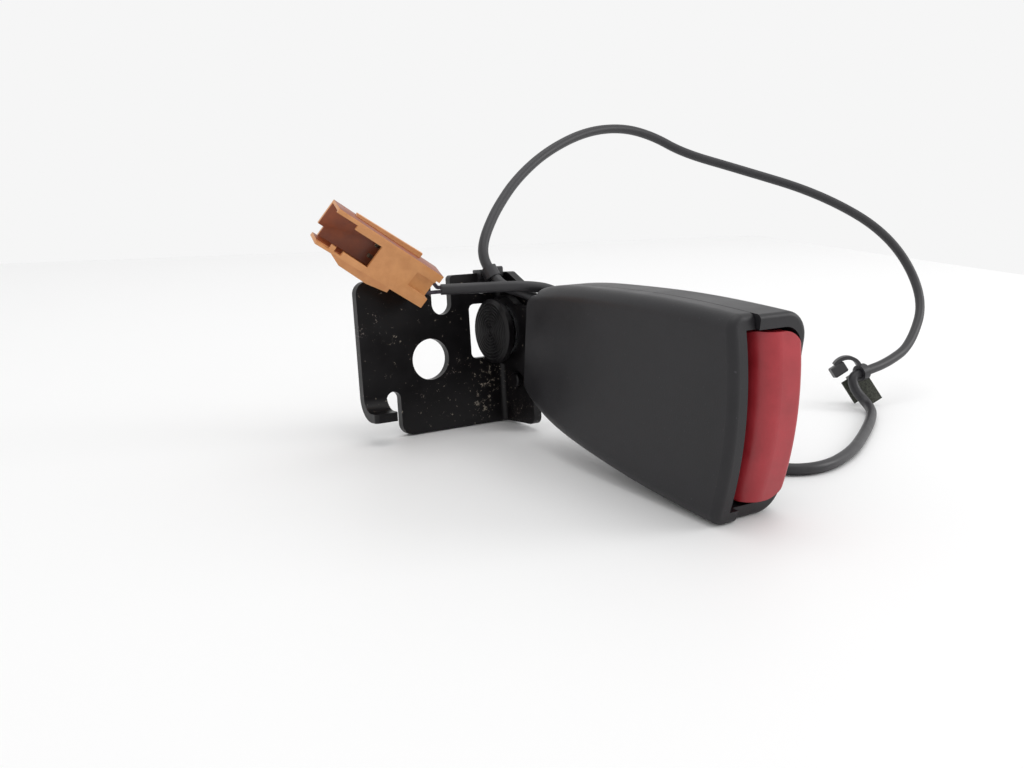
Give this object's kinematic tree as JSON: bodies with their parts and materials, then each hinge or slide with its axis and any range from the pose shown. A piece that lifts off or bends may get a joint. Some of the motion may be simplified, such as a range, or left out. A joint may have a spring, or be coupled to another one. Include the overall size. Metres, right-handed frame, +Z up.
{
  "type": "seat belt buckle",
  "caption": "Seat belt buckle with red push button, pivoting on an L-shaped anchor bracket, with its switch cable, edge clip and plug.",
  "frame": {"origin": "middle of the box round the bracket and buckle, on the surface they rest on; the cable and what is on it are left out of that box", "axes": "+Z up, the buckle's mouth points along -Y, the bracket's main plate faces -Y and lies towards -X"},
  "size_m": [0.2526, 0.1724, 0.1062],
  "materials": {
    "black_coated_steel": "black e-coat, slight gloss",
    "washer_plastic": "natural",
    "spring_steel": "bright",
    "cable_pvc": "smooth",
    "orange_plastic": "moulded",
    "terminal_metal": "tin plated",
    "wire_pvc": "smooth",
    "tie_nylon": "moulded",
    "clip_steel": "phosphated",
    "zinc_steel": "zinc plated",
    "cover_plastic": "fine grain",
    "carrier_plastic": "moulded",
    "switch_plastic": "moulded",
    "red_plastic": "satin gloss"
  },
  "bodies": {
    "bracket": {"anchor_bracket": "black_coated_steel", "pivot_rivet": "black_coated_steel", "friction_washer": "washer_plastic", "wave_washer": "spring_steel", "stop_pin": "black_coated_steel", "switch_cable": "cable_pvc", "connector_housing": "orange_plastic", "connector_terminals": "terminal_metal", "terminal_lock": "orange_plastic", "plug_wires": "wire_pvc", "bracket_tie": "tie_nylon", "edge_clip": "clip_steel", "clip_tie": "tie_nylon"},
    "buckle": {"stalk_plate": "black_coated_steel", "buckle_frame": "zinc_steel", "stalk_rivets": "zinc_steel", "front_cover": "cover_plastic", "rear_cover": "cover_plastic", "mechanism_carrier": "carrier_plastic", "buckle_switch": "switch_plastic", "switch_lead": "cable_pvc", "latch_spring": "spring_steel"},
    "button": {"push_button": "red_plastic", "button_springs": "spring_steel"},
    "ejector": {"ejector": "carrier_plastic", "ejector_spring": "spring_steel"},
    "lock_bar": {"lock_bar": "zinc_steel"},
    "latch": {"latch_plate": "zinc_steel"}
  },
  "joints": [
    {"name": "buckle_swing", "type": "hinge", "parent": "bracket", "child": "buckle", "pos_m": [0.01903, 0.05534, 0.03437], "axis": [-1, 0, 0], "range_deg": [-14, 4]},
    {"name": "button_press", "type": "slide", "parent": "buckle", "child": "button", "axis": [0, 0.9987, 0.0502], "range_m": [0, 0.006], "stiffness_N_per_m": 500, "springref_m": -0.006},
    {"name": "ejector_slide", "type": "slide", "parent": "buckle", "child": "ejector", "axis": [0, 0.9987, 0.0502], "range_m": [0, 0.011], "stiffness_N_per_m": 200, "springref_m": -0.01},
    {"name": "lock_slide", "type": "slide", "parent": "buckle", "child": "lock_bar", "axis": [0, 0.9987, 0.0502], "range_m": [0, 0.006]},
    {"name": "latch_turn", "type": "hinge", "parent": "buckle", "child": "latch", "pos_m": [0.02013, -0.01457, 0.03085], "axis": [0, -0.0502, 0.9987], "range_deg": [-10, 0]}
  ],
  "couplings": [
    {"joint": "lock_slide", "follows": "button_press", "ratio": 1},
    {"joint": "latch_turn", "follows": "ejector_slide", "rad_per_m": -15.86}
  ]
}
